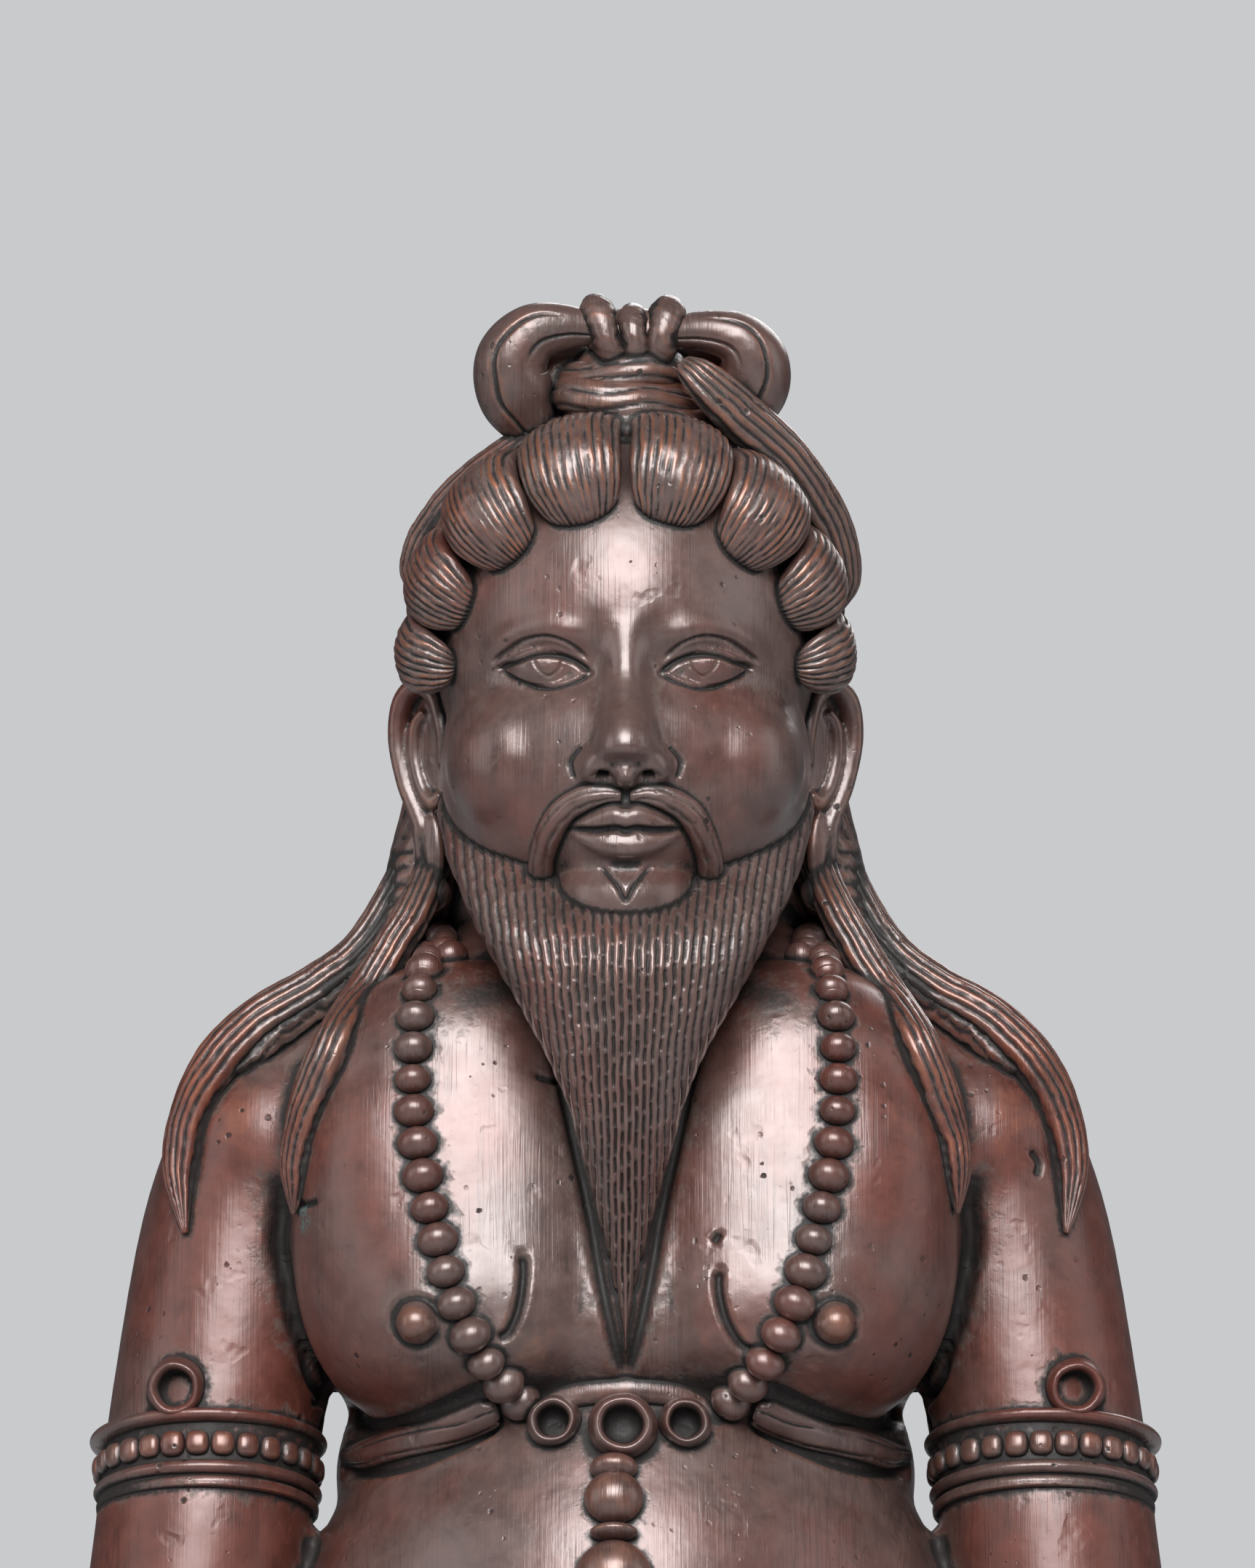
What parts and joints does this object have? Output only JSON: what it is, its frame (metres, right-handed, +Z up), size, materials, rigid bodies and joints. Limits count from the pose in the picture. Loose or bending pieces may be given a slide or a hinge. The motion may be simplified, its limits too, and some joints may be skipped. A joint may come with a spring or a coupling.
{
  "type": "saint figurine",
  "caption": "Seated bearded saint figurine cast in dark oxidised copper, with a bow-tied topknot, bead necklace, armbands and hands resting in the lap.",
  "frame": {"origin": "on the flat underside of the garment, below the middle of the waist", "axes": "+Z up, -Y the way the face looks, +X to the viewer's right"},
  "size_m": [0.1645, 0.1024, 0.2153],
  "materials": {
    "copper": "dark brown waxed patina over cast copper, rubbed orange on the high points, black in the grooves"
  },
  "bodies": {
    "root": {"cast_figure": "copper"}
  },
  "joints": []
}
